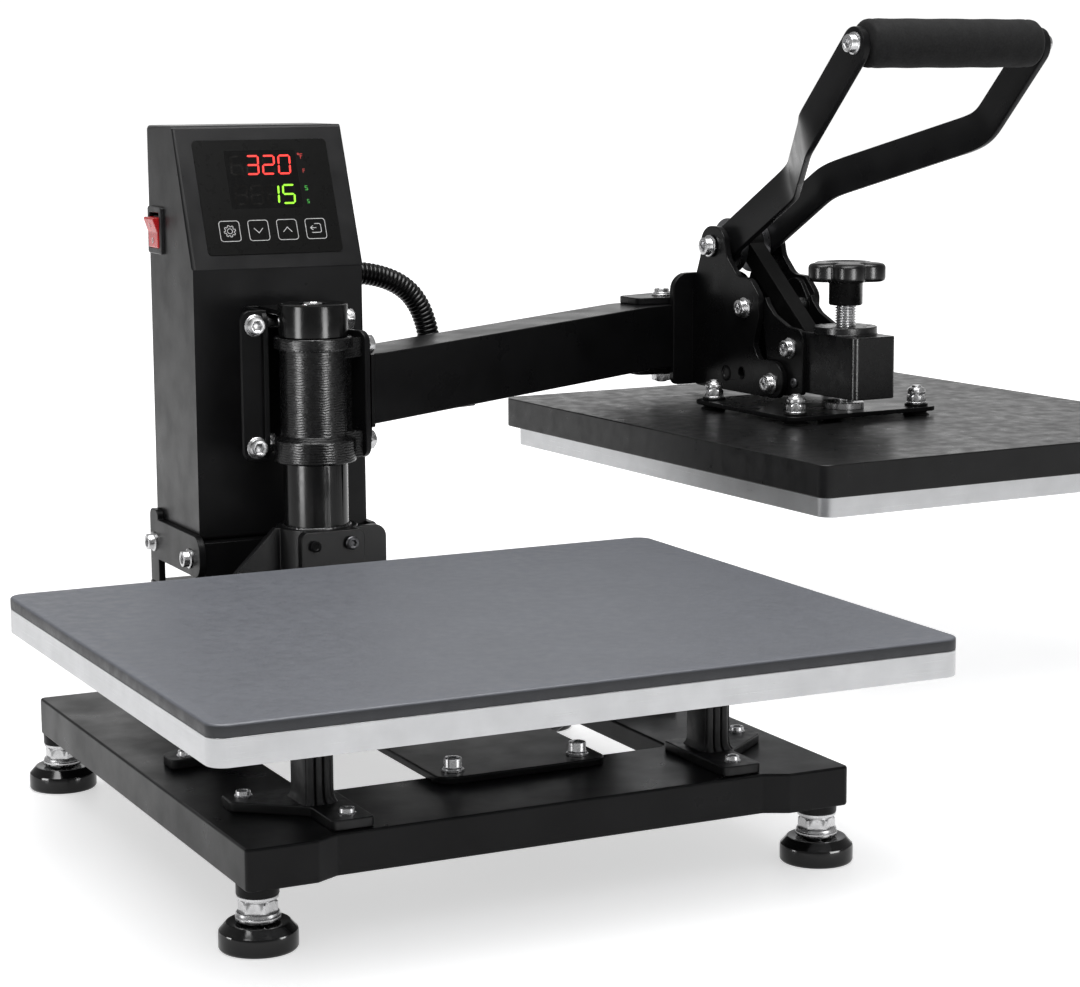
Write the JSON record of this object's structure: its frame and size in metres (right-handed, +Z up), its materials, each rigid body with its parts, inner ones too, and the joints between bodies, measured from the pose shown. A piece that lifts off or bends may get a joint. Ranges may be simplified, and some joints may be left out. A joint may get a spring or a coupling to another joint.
{
  "type": "flat heat press",
  "caption": "Swing-away flat heat press: padded lower platen on a steel base, post with a turning arm, toggle head with a bowed handle, control box with a slanted display.",
  "frame": {"origin": "centre of the silicone pad's top face, the work surface", "axes": "+Z up out of the pad, +X to the right along the front edge, +Y to the rear towards the post"},
  "size_m": [0.8087, 0.6876, 0.421],
  "materials": {
    "frame_black": "satin",
    "cast_black": "satin",
    "block_black": "satin",
    "bolt_steel": "gloss",
    "screw_steel": "gloss",
    "platen_aluminium": "satin",
    "pad_silicone": "matte",
    "post_black": "gloss",
    "housing_black": "satin",
    "board_green": "satin",
    "overlay_black": "satin",
    "switch_black": "satin",
    "rocker_red": "gloss",
    "hose_black": "satin",
    "foot_black": "gloss",
    "bush_bronze": "satin",
    "plain_steel": "satin",
    "bar_black": "satin",
    "foam_black": "matte",
    "knob_black": "gloss",
    "plate_black": "satin",
    "rubber_black": "matte",
    "cover_black": "satin",
    "insulation_white": "matte",
    "element_steel": "satin"
  },
  "bodies": {
    "base": {"base_frame": "frame_black", "foot_jam_nuts": "bolt_steel", "standoffs_front": "cast_black", "standoffs_rear": "cast_black", "standoff_screws": "bolt_steel", "lower_plate": "platen_aluminium", "silicone_pad": "pad_silicone", "spine_tray": "frame_black", "base_bolts": "bolt_steel", "post_socket": "frame_black", "post": "post_black", "post_cap": "post_black", "tower_bracket": "frame_black", "tower_side_plate": "frame_black", "tower_bolts": "bolt_steel", "box_cradle": "frame_black", "box_housing": "housing_black", "box_back_panel": "housing_black", "control_board": "board_green", "display_overlay": "overlay_black", "rocker_bezel": "switch_black", "box_hose_gland": "switch_black", "mains_inlet": "switch_black", "hose": "hose_black"},
    "foot_front_left": {"foot_front_left": "foot_black"},
    "foot_front_right": {"foot_front_right": "foot_black"},
    "foot_rear_left": {"foot_rear_left": "foot_black"},
    "foot_rear_right": {"foot_rear_right": "foot_black"},
    "foot_tower": {"foot_tower": "foot_black"},
    "rocker": {"rocker_switch": "rocker_red"},
    "arm": {"pivot_sleeve": "cast_black", "sleeve_bushes": "bush_bronze", "arm_tube": "frame_black", "arm_bolts": "bolt_steel", "arm_hose_gland": "switch_black", "head_bracket": "frame_black", "side_plate_near": "frame_black", "side_plate_far": "frame_black", "pivot_bolts": "bolt_steel", "cross_spacers": "plain_steel"},
    "handle": {"handle_bar_near": "bar_black", "handle_bar_far": "bar_black", "handle_hub": "plain_steel", "grip_rod": "plain_steel", "foam_grip": "foam_black", "handle_bolts": "bolt_steel"},
    "toggle_link": {"toggle_link": "plate_black"},
    "press_arm": {"cheek_near": "frame_black", "cheek_far": "frame_black", "press_arm": "block_black", "cheek_bolts": "bolt_steel"},
    "pressure_screw": {"pressure_screw": "screw_steel"},
    "star_knob": {"star_knob": "knob_black"},
    "head": {"mount_plate": "plate_black", "head_studs": "bolt_steel", "rubber_spacers": "rubber_black", "top_cover": "cover_black", "insulation": "insulation_white", "heating_element": "element_steel", "heater_plate": "platen_aluminium"}
  },
  "joints": [
    {"name": "swing", "type": "hinge", "parent": "base", "child": "arm", "pos_m": [0.068, 0.372, 0.065], "axis": [0, 0, 1], "range_deg": [-93, 3], "deforming": ["hose"]},
    {"name": "handle_pull", "type": "hinge", "parent": "arm", "child": "handle", "pos_m": [0.41353, 0.42816, 0.148], "axis": [0.9986, 0.0523, 0], "range_deg": [0, 43]},
    {"name": "link_turn", "type": "hinge", "parent": "handle", "child": "toggle_link", "pos_m": [0.41405, 0.41826, 0.14932], "axis": [0.9986, 0.0523, 0], "range_deg": [-47, 0]},
    {"name": "press", "type": "hinge", "parent": "arm", "child": "press_arm", "pos_m": [0.41746, 0.35326, 0.059], "axis": [0.9986, 0.0523, 0], "range_deg": [0, 5.74]},
    {"name": "screw_travel", "type": "slide", "parent": "press_arm", "child": "pressure_screw", "axis": [0, 0, 1], "range_m": [-0.00175, 0.00175]},
    {"name": "knob_turn", "type": "hinge", "parent": "pressure_screw", "child": "star_knob", "pos_m": [0.42008, 0.30333, 0.13], "axis": [0, 0, 1], "range_deg": [-360, 360]},
    {"name": "head_level", "type": "hinge", "parent": "pressure_screw", "child": "head", "pos_m": [0.42008, 0.30333, 0.052], "axis": [0.9986, 0.0523, 0], "range_deg": [-5.74, 0]},
    {"name": "rocker", "type": "hinge", "parent": "base", "child": "rocker", "pos_m": [0.01, 0.486, 0.168], "axis": [0, 1, 0], "range_deg": [0, 20]},
    {"name": "foot_front_left_turn", "type": "hinge", "parent": "base", "child": "foot_front_left", "pos_m": [-0.148, -0.097, -0.11], "axis": [0, 0, 1], "range_deg": [-360, 360]},
    {"name": "foot_front_right_turn", "type": "hinge", "parent": "base", "child": "foot_front_right", "pos_m": [0.148, -0.097, -0.11], "axis": [0, 0, 1], "range_deg": [-360, 360]},
    {"name": "foot_rear_left_turn", "type": "hinge", "parent": "base", "child": "foot_rear_left", "pos_m": [-0.148, 0.212, -0.11], "axis": [0, 0, 1], "range_deg": [-360, 360]},
    {"name": "foot_rear_right_turn", "type": "hinge", "parent": "base", "child": "foot_rear_right", "pos_m": [0.148, 0.212, -0.11], "axis": [0, 0, 1], "range_deg": [-360, 360]},
    {"name": "foot_tower_turn", "type": "hinge", "parent": "base", "child": "foot_tower", "pos_m": [0.068, 0.372, -0.11], "axis": [0, 0, 1], "range_deg": [-360, 360]}
  ],
  "couplings": [
    {"joint": "link_turn", "follows": "handle_pull", "ratio": -1.0889},
    {"joint": "press", "follows": "handle_pull", "ratio": 0.13325},
    {"joint": "head_level", "follows": "handle_pull", "ratio": -0.13325},
    {"joint": "knob_turn", "follows": "screw_travel", "rad_per_m": 3590.4}
  ]
}
